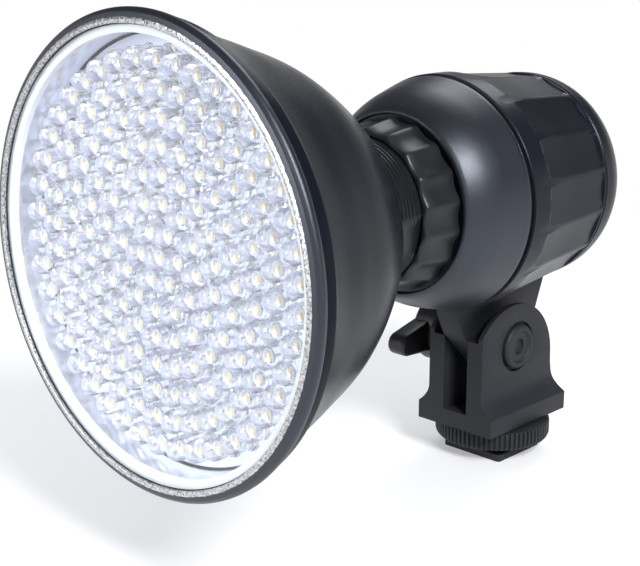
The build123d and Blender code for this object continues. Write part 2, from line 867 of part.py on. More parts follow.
# ---------------------------------------------------------------- power button
with BuildPart() as power_button:
    turn_ring(button_bottom, button_face, button_radius)
    turn_ring(button_bottom, button_bottom + button_flange_thickness, button_flange_radius)
save(power_button.part, "power_button")

# ---------------------------------------------------------------- switch
with BuildPart() as tail_switch:
    turn_ring(switch_bottom, switch_face, switch_radius)
save(tail_switch.part, "tail_switch")

# ---------------------------------------------------------------- battery sled
with BuildPart() as battery_sled:
    turn_ring(sled_front, cell_front, sled_front_radius)
    turn_ring(cell_front, sled_rear_face, sled_spine_radius)
    turn_ring(sled_rear_face, cap_floor, sled_rear_radius)
    turn_ring(switch_bottom, cap_floor, switch_radius + seat_gap, mode=Mode.SUBTRACT)
save(battery_sled.part, "battery_sled")

# ---------------------------------------------------------------- battery cells
cell_plane = Plane(origin=(0, cell_front, axis_height), x_dir=(1, 0, 0), z_dir=(0, 1, 0))
can_length = cell_length - cell_nub_height
with BuildPart() as battery_cells:
    for nub_last in (True, False):
        can_start = 0 if nub_last else cell_nub_height
        nub_start = can_length if nub_last else 0
        first = 0 if nub_last else 360 / cell_count
        with BuildSketch(cell_plane.offset(can_start)):
            with PolarLocations(cell_circle, cell_count // 2, start_angle=first):
                Circle(cell_radius)
        extrude(amount=can_length)
        with BuildSketch(cell_plane.offset(nub_start)):
            with PolarLocations(cell_circle, cell_count // 2, start_angle=first):
                Circle(cell_nub_radius)
        extrude(amount=cell_nub_height)
save(battery_cells.part, "battery_cells")

# ---------------------------------------------------------------- contact leaves
pad_half = leaf_pad / 2
heel = leaf_length - pad_half
with BuildPart() as leaf:
    with BuildSketch(Plane(origin=(-leaf_width / 2, 0, axis_height), x_dir=(0, 1, 0), z_dir=(1, 0, 0))):
        with BuildLine():
            Polyline(
                (cell_rear, -pad_half),
                (cell_rear, pad_half),
                (sled_rear_face - leaf_thickness, heel),
                (sled_rear_face, heel),
                (sled_rear_face, heel - leaf_pad),
                (cell_rear + leaf_thickness, -pad_half),
                close=True,
            )
        make_face()
    extrude(amount=leaf_width)
with BuildPart() as contact_leaves:
    with Locations(*ring_spots(cell_circle, cell_count)):
        add(leaf.part)
save(contact_leaves.part, "contact_leaves")
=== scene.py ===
from math import acos, atan2, cos, degrees, hypot, pi, radians, sin, sqrt, tan

import bmesh
import bpy
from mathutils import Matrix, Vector


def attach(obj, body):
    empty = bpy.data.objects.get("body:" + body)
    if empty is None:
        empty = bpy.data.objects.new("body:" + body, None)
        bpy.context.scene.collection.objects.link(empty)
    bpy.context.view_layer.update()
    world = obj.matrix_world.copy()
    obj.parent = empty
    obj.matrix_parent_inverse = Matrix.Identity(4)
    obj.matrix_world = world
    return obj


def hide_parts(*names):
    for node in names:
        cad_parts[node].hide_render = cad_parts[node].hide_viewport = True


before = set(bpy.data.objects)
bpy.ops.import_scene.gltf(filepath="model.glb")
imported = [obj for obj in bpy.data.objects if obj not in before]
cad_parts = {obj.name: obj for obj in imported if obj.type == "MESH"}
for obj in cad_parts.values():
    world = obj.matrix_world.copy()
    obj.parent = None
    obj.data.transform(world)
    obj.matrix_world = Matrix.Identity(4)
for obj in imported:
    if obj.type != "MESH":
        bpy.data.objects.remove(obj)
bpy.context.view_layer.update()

MM = 0.001

# ---------------------------------------------------------------- sizes in mm, angles in degrees
# Stations along the head, from the lip in front to the tail cap's end
AXIS = 73.0
LIP, LENS_FRONT, LENS_REAR, BAND = -118.7, -117.8, -116.8, -115.3
BOWL, BOARD, BOARD_REAR, BOWL_BACK = -112.4, -108.8, -107.6, -64.8
COLLAR_FRONT, COLLAR_REAR, DOME, DOME_REAR = -52.1, -41.9, -42.5, -26.3
BARREL, RING_REAR, MIDDLE, BARREL_REAR = -25.3, -19.5, -8.65, 8.0
CAP, REAR = 8.3, 19.5

# Dish and lamps
BOWL_RIM = 48.7
SEAT_RADIUS, WALL_IN, WALL_OUT, BOARD_RADIUS = 47.35, 45.1, 45.6, 44.9
LIP_STEPS = 540
LAMP_PITCH = 5.7
LAMP_RADIUS, LAMP_FLANGE, LAMP_SHOULDER = 2.5, 2.8, 4.7
# Inner and outer radius of the painted shade arc beside each lamp
SHADE_ARC_IN, SHADE_ARC_OUT = 2.9, 3.02

# Neck and collar
THREAD_TOP, THREAD_ROOT, THREAD_PITCH, THREAD_TURNS = 17.2, 16.7, 1.15, 18
KEYWAY, KEYWAY_TURN = 16.4, 12.0
COLLAR_RADIUS, COLLAR_GROWTH, COLLAR_BORE = 19.3, 1.5, 17.5
SCALLOPS, SCALLOP_DEPTH, SCALLOP_CUTTER = 18, 0.8, 9.0

# Barrel and its flutes
RING_RADIUS, MIDDLE_RADIUS, TAIL_RADIUS = 29.2, 28.0, 26.7
FLUTES, FLUTE_CUTTER, FLUTE_DISTANCE, FLUTE_BITE = 16, 80.0, 109.2, 0.65
FLUTE_RUN_OUT, FLUTE_GROWTH, FLUTE_SOFT, FLUTE_END = 0.8, 1.2, 0.12, 0.8

# Clevis, tongue, knob, wheel and foot
PIVOT_Y, PIVOT_Z = -1.6, 30.2
SLOT_HALF, SHOULDER_HALF, CHEEK_HALF, FLARE_HALF, BRACKET_HALF = 3.8, 7.2, 8.6, 12.0, 12.5
BRACKET_FOOT, BRACKET_STEP, SLOT_FLOOR, SHOULDER = 9.4, 14.2, 13.9, 34.0
PIN_RADIUS, BOLT_HEAD, TONGUE_HALF, TONGUE_NOSE = 3.0, 5.9, 3.5, 8.2
KNOB_IN, KNOB_OUT = -9.5, -20.1
WING_REACH, WING_END, WING_ROOT, WING_DEPTH, WING_TURN = 16.0, 3.0, 5.5, 5.6, 185.0
WHEEL_LOW, WHEEL_HIGH, WHEEL_BORE, WHEEL_RIBS, RIB_STEPS = 3.8, 8.8, 6.1, 72, 6
FOOT_HALF_X, FOOT_HALF_Y, FOOT_CORNER, FOOT_THICK, STEM_RADIUS = 9.3, 9.0, 1.0, 2.0, 6.0

# Stage and camera, in metres for the camera's place
FLOOR_HALF = 3000.0
CAMERA_PLACE, CAMERA_DIP, CAMERA_TURN, CAMERA_LENS = (0.2131, -0.2867, 0.1431), 15.43, 44.09, 78.75


# ---------------------------------------------------------------- node groups
def group(name, inputs, outputs):
    """Start a shader node group with named inputs and outputs."""
    tree = bpy.data.node_groups.new(name, "ShaderNodeTree")
    for label, kind, value in inputs:
        item = tree.interface.new_socket(name=label, in_out="INPUT", socket_type=kind)
        if value is not None:
            item.default_value = value
    for label, kind in outputs:
        tree.interface.new_socket(name=label, in_out="OUTPUT", socket_type=kind)
    return tree, tree.nodes.new("NodeGroupInput"), tree.nodes.new("NodeGroupOutput")


def node(tree, kind, **settings):
    """Add a node, set its own properties, and fill inputs given as in_<name or index>."""
    made = tree.nodes.new(kind)
    for key, value in settings.items():
        if key.startswith("in_"):
            slot = key[3:]
            made.inputs[int(slot) if slot.isdigit() else slot.replace("_", " ")].default_value = value
        else:
            setattr(made, key, value)
    return made


FLOAT, COLOR, VECTOR = "NodeSocketFloat", "NodeSocketColor", "NodeSocketVector"


def make_grain():
    """Fine moulded grain: a normal, and a mask that varies with it."""
    tree, start, end = group(
        "moulded_grain",
        [("Scale", FLOAT, 3500.0), ("Height", FLOAT, 0.2), ("Broad Scale", FLOAT, 60.0)],
        [("Normal", VECTOR), ("Grain", FLOAT), ("Broad", FLOAT)],
    )
    place = node(tree, "ShaderNodeTexCoord")
    fine = node(tree, "ShaderNodeTexNoise", in_Detail=3.0, in_Roughness=0.6)
    pits = node(tree, "ShaderNodeTexVoronoi", feature="SMOOTH_F1", in_Smoothness=0.4)
    broad = node(tree, "ShaderNodeTexNoise", in_Detail=4.0, in_Roughness=0.55)
    mix = node(tree, "ShaderNodeMath", operation="MULTIPLY_ADD", in_1=0.6)
    bump = node(tree, "ShaderNodeBump", in_Distance=0.00006)
    link = tree.links.new
    for texture in (fine, pits, broad):
        link(place.outputs["Object"], texture.inputs["Vector"])
    link(start.outputs["Scale"], fine.inputs["Scale"])
    link(start.outputs["Scale"], pits.inputs["Scale"])
    link(start.outputs["Broad Scale"], broad.inputs["Scale"])
    link(pits.outputs["Distance"], mix.inputs[0])
    link(fine.outputs["Fac"], mix.inputs[2])
    link(mix.outputs[0], bump.inputs["Height"])
    link(start.outputs["Height"], bump.inputs["Strength"])
    link(bump.outputs["Normal"], end.inputs["Normal"])
    link(fine.outputs["Fac"], end.inputs["Grain"])
    link(broad.outputs["Fac"], end.inputs["Broad"])
    return tree


def make_tone():
    """Blend two colours and two roughness values by a pair of masks."""
    tree, start, end = group(
        "tone_by_mask",
        [("Grain", FLOAT, 0.5), ("Broad", FLOAT, 0.5), ("Color A", COLOR, (0.1, 0.1, 0.1, 1)),
         ("Color B", COLOR, (0.2, 0.2, 0.2, 1)), ("Rough Low", FLOAT, 0.3), ("Rough High", FLOAT, 0.5)],
        [("Color", COLOR), ("Roughness", FLOAT)],
    )
    spread = node(tree, "ShaderNodeMapRange", in_1=0.35, in_2=0.65)
    colour = node(tree, "ShaderNodeMix", data_type="RGBA")
    rough = node(tree, "ShaderNodeMapRange", in_1=0.3, in_2=0.7)
    both = node(tree, "ShaderNodeMath", operation="MULTIPLY_ADD", in_1=0.5)
    half = node(tree, "ShaderNodeMath", operation="MULTIPLY", in_1=0.5)
    link = tree.links.new
    link(start.outputs["Grain"], half.inputs[0])
    link(start.outputs["Broad"], both.inputs[0])
    link(half.outputs[0], both.inputs[2])
    link(both.outputs[0], spread.inputs[0])
    link(spread.outputs[0], colour.inputs[0])
    link(start.outputs["Color A"], colour.inputs[6])
    link(start.outputs["Color B"], colour.inputs[7])
    link(both.outputs[0], rough.inputs[0])
    link(start.outputs["Rough Low"], rough.inputs[3])
    link(start.outputs["Rough High"], rough.inputs[4])
    link(colour.outputs[2], end.inputs["Color"])
    link(rough.outputs[0], end.inputs["Roughness"])
    return tree


GRAIN = make_grain()
TONE = make_tone()


def grained(name, low, high, rough, grain, height, broad):
    """A new material whose principled shader is fed by the grain and tone groups."""
    made = bpy.data.materials.new(name)
    made.use_nodes = True
    tree = made.node_tree
    shader = tree.nodes["Principled BSDF"]
    grit = node(tree, "ShaderNodeGroup", node_tree=GRAIN, in_Scale=grain, in_Height=height, in_Broad_Scale=broad)
    tone = node(tree, "ShaderNodeGroup", node_tree=TONE, in_Color_A=(*low, 1), in_Color_B=(*high, 1),
                in_Rough_Low=rough[0], in_Rough_High=rough[1])
    link = tree.links.new
    link(grit.outputs["Grain"], tone.inputs["Grain"])
    link(grit.outputs["Broad"], tone.inputs["Broad"])
    link(tone.outputs["Color"], shader.inputs["Base Color"])
    link(tone.outputs["Roughness"], shader.inputs["Roughness"])
    link(grit.outputs["Normal"], shader.inputs["Normal"])
    return made, tree, shader


def surface(name, low, high, rough, grain=3500.0, height=0.2, broad=60.0, **extras):
    """A moulded or metal surface. Extras are plain values for the shader's own sockets."""
    made, tree, shader = grained(name, low, high, rough, grain, height, broad)
    for key, value in extras.items():
        shader.inputs[key.replace("_", " ")].default_value = value
    return made


def clear(name, tint, ior, rough, grain=900.0, height=0.02):
    """Clear plastic: refracts for the eye, and lets light through to what is behind it."""
    made, tree, shader = grained(name, tint, (1.0, 1.0, 1.0), (rough, rough * 2), grain, height, 120.0)
    shader.inputs["Transmission Weight"].default_value = 1.0
    shader.inputs["IOR"].default_value = ior
    path = node(tree, "ShaderNodeLightPath")
    either = node(tree, "ShaderNodeMath", operation="MAXIMUM")
    through = node(tree, "ShaderNodeBsdfTransparent", in_Color=(*tint, 1))
    mix = node(tree, "ShaderNodeMixShader")
    link = tree.links.new
    link(path.outputs["Is Shadow Ray"], either.inputs[0])
    link(path.outputs["Is Diffuse Ray"], either.inputs[1])
    link(either.outputs[0], mix.inputs[0])
    link(shader.outputs[0], mix.inputs[1])
    link(through.outputs[0], mix.inputs[2])
    link(mix.outputs[0], tree.nodes["Material Output"].inputs["Surface"])
    return made


# Each has its two colours, its two roughness values, then the grain's scale and height and the mottle's scale
SATIN = surface("satin_black", (0.005, 0.0062, 0.010), (0.0075, 0.009, 0.0145), (0.34, 0.42), 4200.0, 0.5, 45.0,
                Specular_IOR_Level=0.78, Specular_Tint=(0.82, 0.88, 1.0, 1.0))
FLUTED = surface("fluted_black", (0.006, 0.0072, 0.0115), (0.0095, 0.011, 0.0165), (0.26, 0.36), 5200.0, 0.2, 45.0,
                 Specular_IOR_Level=0.16, Specular_Tint=(0.78, 0.86, 1.0, 1.0))
BOWL_BLACK = surface("bowl_black", (0.004, 0.005, 0.0085), (0.007, 0.0085, 0.0135), (0.22, 0.3), 5200.0, 0.22,
                     40.0, Specular_IOR_Level=0.09, Specular_Tint=(0.78, 0.86, 1.0, 1.0))
BRACKET = surface("bracket_plastic", (0.014, 0.0145, 0.019), (0.019, 0.02, 0.025), (0.5, 0.62), 4200.0, 0.3, 70.0,
                  Specular_IOR_Level=0.3)
# Dark rubber for the seam gasket; the same dark colour is also painted shade in the gaps at the cover and the
# board, and in the arcs beside the lamps
DARK_RUBBER_AND_SHADE = surface("dark_rubber", (0.006, 0.006, 0.007), (0.01, 0.01, 0.011), (0.7, 0.85), 2600.0, 0.3)
COLLAR = surface("collar_plastic", (0.01, 0.0105, 0.013), (0.014, 0.015, 0.018), (0.32, 0.44), 3800.0, 0.15, 90.0,
                 Specular_IOR_Level=0.36)
KNOB = surface("knob_plastic", (0.009, 0.009, 0.011), (0.013, 0.013, 0.015), (0.32, 0.44), 3000.0, 0.12, 80.0,
               Specular_IOR_Level=0.42)
STEEL = surface("plain_steel", (0.52, 0.52, 0.54), (0.64, 0.64, 0.66), (0.24, 0.4), 2400.0, 0.1, Metallic=1.0)
BRASS = surface("brass", (0.6, 0.44, 0.2), (0.72, 0.55, 0.28), (0.25, 0.4), 2000.0, 0.1, Metallic=1.0)
WHITE = surface("white_ring", (0.86, 0.87, 0.89), (0.93, 0.94, 0.95), (0.3, 0.42), 2600.0, 0.05)
SPARKLE = surface("sparkling_lip", (0.14, 0.14, 0.15), (0.86, 0.86, 0.88), (0.2, 0.4), 2200.0, 1.0, 1500.0,
                  Metallic=1.0)
FOIL = surface("mirror_foil", (0.86, 0.88, 0.97), (0.94, 0.95, 1.0), (0.16, 0.3), 500.0, 0.3, 40.0, Metallic=1.0)
BOARD_WHITE = surface("board_mask", (0.78, 0.83, 0.97), (0.9, 0.9, 0.99), (0.35, 0.5), 1500.0, 0.1, 220.0)
CUP = surface("cup_silver", (0.6, 0.62, 0.7), (0.78, 0.8, 0.87), (0.2, 0.35), 4000.0, 0.1, Metallic=1.0)
PHOSPHOR = surface("phosphor", (0.95, 0.66, 0.34), (0.98, 0.84, 0.5), (0.5, 0.6), 6000.0, 0.2, 900.0)
CELL = surface("cell_jacket", (0.05, 0.055, 0.065), (0.08, 0.085, 0.1), (0.25, 0.35), 2600.0, 0.05)
LENS = clear("clear_front", (0.97, 0.985, 1.0), 1.46, 0.012)
EPOXY = clear("clear_epoxy", (0.99, 0.992, 1.0), 1.5, 0.0, 2000.0, 0.4)


# ---------------------------------------------------------------- mesh helpers
def finish_mesh(name, mesh, material, body, nodes=(), sharp=32.0):
    """Turn a bmesh into a piece with smooth faces and crisp corners, and tie it to the frame."""
    bmesh.ops.remove_doubles(mesh, verts=mesh.verts, dist=1e-7)
    bmesh.ops.recalc_face_normals(mesh, faces=mesh.faces)
    for face in mesh.faces:
        face.smooth = True
    for edge in mesh.edges:
        if len(edge.link_faces) == 2 and edge.calc_face_angle(0) > radians(sharp):
            edge.smooth = False
    data = bpy.data.meshes.new(name)
    mesh.to_mesh(data)
    mesh.free()
    data.materials.append(material)
    made = bpy.data.objects.new(name, data)
    bpy.context.scene.collection.objects.link(made)
    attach(made, body)
    if nodes:
        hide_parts(*nodes)
    return made


def soften(points, steps=4):
    """Round the corners of an outline: a point (a, b, r) gets an arc of radius r."""
    count = len(points)
    line = []
    for index, point in enumerate(points):
        here = Vector(point[:2])
        if len(point) < 3 or point[2] == 0:
            line.append(here)
            continue
        before = Vector(points[index - 1][:2]) - here
        after = Vector(points[(index + 1) % count][:2]) - here
        angle = before.angle(after)
        reach = min(point[2] / tan(angle / 2), before.length * 0.49, after.length * 0.49)
        size = reach * tan(angle / 2)
        first = here + before.normalized() * reach
        last = here + after.normalized() * reach
        centre = here + (before.normalized() + after.normalized()).normalized() * hypot(reach, size)
        for step in range(steps + 1):
            spot = first.lerp(last, step / steps) - centre
            line.append(centre + spot.normalized() * size)
    return line


def curve(points, steps=6):
    """A smooth line through (a, b) points."""
    rows = [Vector(p) for p in points]
    rows = [rows[0] * 2 - rows[1]] + rows + [rows[-1] * 2 - rows[-2]]
    line = []
    for p0, p1, p2, p3 in zip(rows, rows[1:], rows[2:], rows[3:]):
        for step in range(steps):
            t = step / steps
            line.append(0.5 * (2 * p1 + (p2 - p0) * t + (2 * p0 - 5 * p1 + 4 * p2 - p3) * t * t
                               + (3 * p1 - p0 - 3 * p2 + p3) * t ** 3))
    line.append(rows[-2])
    return line


def spot(station, radius, angle):
    """The place at a station, a radius and an angle round the head's axis, in metres."""
    return Vector((radius * cos(angle), station, AXIS + radius * sin(angle))) * MM


def grid(mesh, rows, closed_rows=False):
    """Join rings of points into faces. A ring of one point is a tip."""
    rings = [[mesh.verts.new(p) for p in row] for row in rows]
    pairs = list(zip(rings, rings[1:])) + ([(rings[-1], rings[0])] if closed_rows else [])
    for one, two in pairs:
        count = max(len(one), len(two))
        for index in range(count):
            after = (index + 1) % count
            if len(one) == 1 and len(two) == 1:
                continue
            if len(one) == 1:
                mesh.faces.new((one[0], two[index], two[after]))
            elif len(two) == 1:
                mesh.faces.new((one[index], two[0], one[after]))
            else:
                mesh.faces.new((one[index], two[index], two[after], one[after]))


def circle_row(station, radius, count):
    """A ring of points round the head's axis, or its one point where the radius is nothing."""
    if radius < 1e-6:
        return [spot(station, 0, 0)]
    return [spot(station, radius, 2 * pi * step / count) for step in range(count)]


def lathe(name, line, material, body, nodes=(), count=160, ring=True, sharp=32.0):
    """Turn an outline of (station, radius) round the head's axis."""
    mesh = bmesh.new()
    grid(mesh, [circle_row(station, radius, count) for station, radius in line], ring)
    return finish_mesh(name, mesh, material, body, nodes, sharp)


def spin(name, line, material, body, nodes=(), count=64, ring=True, sharp=32.0):
    """Turn an outline of (x, radius) round the pivot's axis."""
    mesh = bmesh.new()
    rows = []
    for x, radius in line:
        if radius < 1e-6:
            rows.append([Vector((x, PIVOT_Y, PIVOT_Z)) * MM])
        else:
            rows.append([Vector((x, PIVOT_Y + radius * cos(2 * pi * i / count),
                                 PIVOT_Z + radius * sin(2 * pi * i / count))) * MM for i in range(count)])
    grid(mesh, rows, ring)
    return finish_mesh(name, mesh, material, body, nodes, sharp)


def prism(outline, direction, low, high):
    """A solid from an outline pushed along X, Y or Z, in mm. Outline axes are the other two in order."""
    mesh = bmesh.new()
    rows = []
    for level in (low, high):
        row = []
        for a, b in outline:
            place = {"X": (level, a, b), "Y": (a, level, b), "Z": (a, b, level)}[direction]
            row.append(mesh.verts.new(Vector(place) * MM))
        rows.append(row)
    mesh.faces.new(rows[0])
    mesh.faces.new(rows[1])
    count = len(outline)
    for index in range(count):
        after = (index + 1) % count
        mesh.faces.new((rows[0][index], rows[0][after], rows[1][after], rows[1][index]))
    bmesh.ops.recalc_face_normals(mesh, faces=mesh.faces)
    return mesh


def loose(mesh, name="tool"):
    """A bare object from a bmesh, for cutting with."""
    data = bpy.data.meshes.new(name)
    mesh.to_mesh(data)
    mesh.free()
    made = bpy.data.objects.new(name, data)
    bpy.context.scene.collection.objects.link(made)
    return made


def carve(base, tools, bevel=0.0, segments=3, limit=30.0):
    """Apply boolean tools given as (operation, object), then a bevel, and give back a bmesh."""
    for operation, tool in tools:
        step = base.modifiers.new("cut", "BOOLEAN")
        step.operation = operation
        step.object = tool
        step.solver = "EXACT"
    if bevel:
        edge = base.modifiers.new("edge", "BEVEL")
        edge.width = bevel * MM
        edge.segments = segments
        edge.limit_method = "ANGLE"
        edge.angle_limit = radians(limit)
        edge.harden_normals = False
    shape = base.evaluated_get(bpy.context.evaluated_depsgraph_get())
    mesh = bmesh.new()
    mesh.from_mesh(shape.to_mesh())
    shape.to_mesh_clear()
    for used in [base] + [tool for _, tool in tools]:
        data = used.data
        bpy.data.objects.remove(used)
        bpy.data.meshes.remove(data)
    return mesh


def round_outline(centre, radius, count=64, start=0.0, sweep=360.0):
    """Points of a circle or an arc."""
    full = sweep >= 360
    steps = count if full else count + 1
    return [(centre[0] + radius * cos(radians(start + sweep * i / count)),
             centre[1] + radius * sin(radians(start + sweep * i / count))) for i in range(steps)]


def arc_through(a, b, c, steps):
    """Points of the arc from a to c that passes through b."""
    twice = 2 * (a[0] * (b[1] - c[1]) + b[0] * (c[1] - a[1]) + c[0] * (a[1] - b[1]))
    squares = [p[0] ** 2 + p[1] ** 2 for p in (a, b, c)]
    x = (squares[0] * (b[1] - c[1]) + squares[1] * (c[1] - a[1]) + squares[2] * (a[1] - b[1])) / twice
    y = (squares[0] * (c[0] - b[0]) + squares[1] * (a[0] - c[0]) + squares[2] * (b[0] - a[0])) / twice
    first = degrees(atan2(a[1] - y, a[0] - x))
    last = degrees(atan2(c[1] - y, c[0] - x))
    return round_outline((x, y), hypot(a[0] - x, a[1] - y), steps, first, (last - first) % 360)


def bezier(a, b, c, steps=6):
    """Points of a curve from a to c that leans to b."""
    shares = [step / steps for step in range(steps + 1)]
    return [tuple((1 - t) ** 2 * a[i] + 2 * t * (1 - t) * b[i] + t * t * c[i] for i in (0, 1)) for t in shares]


def hollow(angle, count, distance, size):
    """Radius of a row of hollows cut by circles round the axis, at an angle."""
    step = 2 * pi / count
    away = (angle + step / 2) % step - step / 2
    inside = size * size - (distance * sin(away)) ** 2
    return distance * cos(away) - sqrt(inside) if inside > 0 else 1e9


def blend_low(a, b, soft):
    """The lower of two values, with a rounded corner."""
    share = max(soft - abs(a - b), 0.0) / soft
    return min(a, b) - share * share * soft * 0.25


# ---------------------------------------------------------------- bowl and its front
bell = curve([(BOWL, 48.1), (-106.0, 45.5), (-97.0, 42.5), (-85.0, 37.95), (-73.0, 30.1), (-67.5, 23.8),
              (BOWL_BACK, 17.6)], 8)
bowl_line = soften([(BAND, 45.65), (BAND, 48.35, 0.15), (BAND + 0.3, BOWL_RIM, 0.2),
                    (BOWL - 0.25, BOWL_RIM, 0.25), (BOWL, 48.35)]) + bell[1:]
bowl_line += [Vector(p) for p in ((BOWL_BACK, 17.25), (-68.8, 17.25), (-68.8, 22.9), (-73.4, 28.6), (-85.6, 36.4),
                                  (-97.5, 41.0), (BOARD_REAR, 43.5), (BOARD_REAR, 44.95), (BOARD, 44.95),
                                  (BOARD, 45.65))]
lathe("bowl_body", bowl_line, BOWL_BLACK, "head", ["bowl_shell"], 192)

bead_line = soften([(LENS_FRONT, 47.45), (LENS_FRONT, 47.7), (LIP + 0.2, 47.95, 0.2), (LIP + 0.5, 49.2, 0.6),
                    (-117.4, 50.0, 1.1), (-116.2, 50.0, 1.1), (-115.55, 48.75, 0.2), (BAND, 48.2),
                    (BAND, 47.45)], 6)
lathe("bezel_bead", bead_line, SATIN, "head", ["front_bezel"], 192)


def lip_row(station, radius, rough, seed):
    """A ring whose edge wanders a little, as a chipped bright edge does."""
    row = []
    for step in range(LIP_STEPS):
        angle = 2 * pi * step / LIP_STEPS
        wander = sin(step * 1.7 + seed) * 0.5 + sin(step * 2.9 + seed * 3) * 0.35 + sin(step * 0.61 + seed) * 0.3
        row.append(spot(station, radius + rough * wander, angle))
    return row


lip = bmesh.new()
grid(lip, [lip_row(LIP + depth, radius, rough, seed) for depth, radius, rough, seed in (
    (0.75, 46.95, 0.0, 0), (0.1, 46.95, 0.0, 0), (0.02, 47.1, 0.0, 1), (0.0, 47.4, 0.04, 2),
    (0.05, 47.75, 0.06, 3), (0.22, 48.15, 0.09, 4), (0.6, 48.1, 0.0, 5), (0.75, 47.4, 0.0, 6))], True)
finish_mesh("bright_lip", lip, SPARKLE, "head", ())

# A thin dark ring in front of the clear cover's edge, inside the lip: painted shade for the gap between them
lathe("cover_gap_painted_shade", [(LENS_FRONT - 0.1, 46.75), (LENS_FRONT - 0.1, 46.95), (LENS_FRONT, 46.95), (LENS_FRONT, 46.75)],
      DARK_RUBBER_AND_SHADE, "head", (), 160)
# Rows just inside the rounded edge keep the clear faces truly flat, so the cover doesn't bend what is behind it
lathe("clear_cover", soften([(LENS_FRONT, 0.0), (LENS_FRONT, 46.6), (LENS_FRONT, 47.1),
                             (LENS_FRONT, SEAT_RADIUS, 0.15), (LENS_REAR, SEAT_RADIUS, 0.15), (LENS_REAR, 47.1),
                             (LENS_REAR, 46.6), (LENS_REAR, 0.0)]),
      LENS, "head", ["front_lens"], 160, False)
lathe("white_seat_ring", soften([(LENS_REAR, WALL_IN, 0.15), (LENS_REAR, SEAT_RADIUS, 0.2), (BAND, SEAT_RADIUS),
                                 (BAND, WALL_IN)]), WHITE, "head", ["lens_ring"], 160)
lathe("bright_wall", soften([(BAND, WALL_IN, 0.1), (BAND, WALL_OUT), (BOARD, WALL_OUT), (BOARD, WALL_IN)]),
      FOIL, "head", ["reflector_wall"], 160)
lathe("lamp_board", soften([(BOARD, 0.0), (BOARD, BOARD_RADIUS, 0.1), (BOARD_REAR, BOARD_RADIUS, 0.1),
                            (BOARD_REAR, 0.0)]), BOARD_WHITE, "head", ["led_board"], 160, False)

# ---------------------------------------------------------------- lamps
# Six more lamps in each ring than in the one inside it, and each ring is turned a little
RING_TURNS = (0.0, 22.0, 4.7, 10.5, 1.9, 6.5, 3.0)
lamp_spots = [(0.0, 0.0)]
for ring, turn in enumerate(RING_TURNS, 1):
    for index in range(6 * ring):
        angle = radians(turn + 60.0 * index / ring)
        lamp_spots.append((LAMP_PITCH * ring * cos(angle), LAMP_PITCH * ring * sin(angle)))


def lamp_parts(name, line, material, count, turn_step=0.0, nodes=(), offset=(0.0, 0.0),
               stretch=(1.0, 1.0)):
    """The same small turned form at every lamp. Line is (height above the board, radius)."""
    mesh = bmesh.new()
    for number, (x, z) in enumerate(lamp_spots):
        rows = []
        base = number * turn_step
        for height, radius in line:
            if radius < 1e-6:
                rows.append([Vector((x + offset[0], BOARD - height, AXIS + z + offset[1])) * MM])
            else:
                across, up = radius * stretch[0], radius * stretch[1]
                rows.append([Vector((x + offset[0] + across * cos(base + 2 * pi * i / count), BOARD - height,
                                     AXIS + z + offset[1] + up * sin(base + 2 * pi * i / count))) * MM
                             for i in range(count)])
        grid(mesh, rows)
    return finish_mesh(name, mesh, material, "head", nodes)


lamp_line = [(0.05, 0.0), (0.05, 2.7), (0.15, LAMP_FLANGE), (0.85, LAMP_FLANGE), (1.0, 2.68), (1.02, LAMP_RADIUS),
             (LAMP_SHOULDER, LAMP_RADIUS)]
lamp_line += [(LAMP_SHOULDER + LAMP_RADIUS * sin(radians(a)), LAMP_RADIUS * cos(radians(a)))
              for a in (15, 30, 45, 60, 75)]
lamp_line.append((LAMP_SHOULDER + LAMP_RADIUS, 0.0))
lamp_parts("lamp_bodies", lamp_line, EPOXY, 24, 0.0, ["led_lamps"])
lamp_parts("lamp_cups", [(3.1, 0.0), (3.1, 0.45), (3.3, 0.8), (4.0, 0.95), (4.0, 0.8), (3.75, 0.4), (3.72, 0.0)],
           CUP, 12, 0.0, ())
lamp_parts("lamp_rims", [(4.0, 0.86), (4.08, 0.88), (4.08, 0.96), (4.0, 0.98), (4.0, 0.86)], WHITE, 16, 0.0, ())
lamp_parts("lamp_dies", [(3.8, 0.0), (3.8, 0.3), (4.0, 0.34), (4.2, 0.2), (4.22, 0.0)], PHOSPHOR, 8, 0.0, (),
           (0.1, 0.0), (0.35, 1.7))
lamp_parts("lamp_leads", [(0.1, 0.0), (0.1, 0.25), (3.2, 0.25), (3.2, 0.0)], CUP, 4, 0.3, (), (0.35, 0.0))
lamp_parts("lamp_posts", [(0.1, 0.0), (0.1, 0.25), (3.7, 0.25), (3.9, 0.4), (3.95, 0.0)], CUP, 4, 0.3, (),
           (-1.55, 0.0))

# A thin dark ring where the lamp board meets the bright wall: painted shade for the gap between them
lathe("board_edge_painted_shade", soften([(BOARD - 0.2, 44.7, 0.05), (BOARD - 0.2, 45.05), (BOARD, 45.05), (BOARD, 44.7)]),
      DARK_RUBBER_AND_SHADE, "head", (), 160)

# A short dark arc on the board at each lamp's lower right: painted shade beside the lamp's flange
shade_arc_mesh = bmesh.new()
for x, z in lamp_spots:
    rows = []
    for radius in (SHADE_ARC_IN, SHADE_ARC_OUT):
        rows.append([Vector((x + radius * cos(radians(a)), BOARD - 0.02, AXIS + z + radius * sin(radians(a)))) * MM
                     for a in range(-80, -10, 10)])
    for left, right in zip(range(6), range(1, 7)):
        corners = [shade_arc_mesh.verts.new(p) for p in (rows[0][left], rows[1][left], rows[1][right], rows[0][right])]
        shade_arc_mesh.faces.new(corners)
finish_mesh("board_painted_shade_arcs", shade_arc_mesh, DARK_RUBBER_AND_SHADE, "head", ())

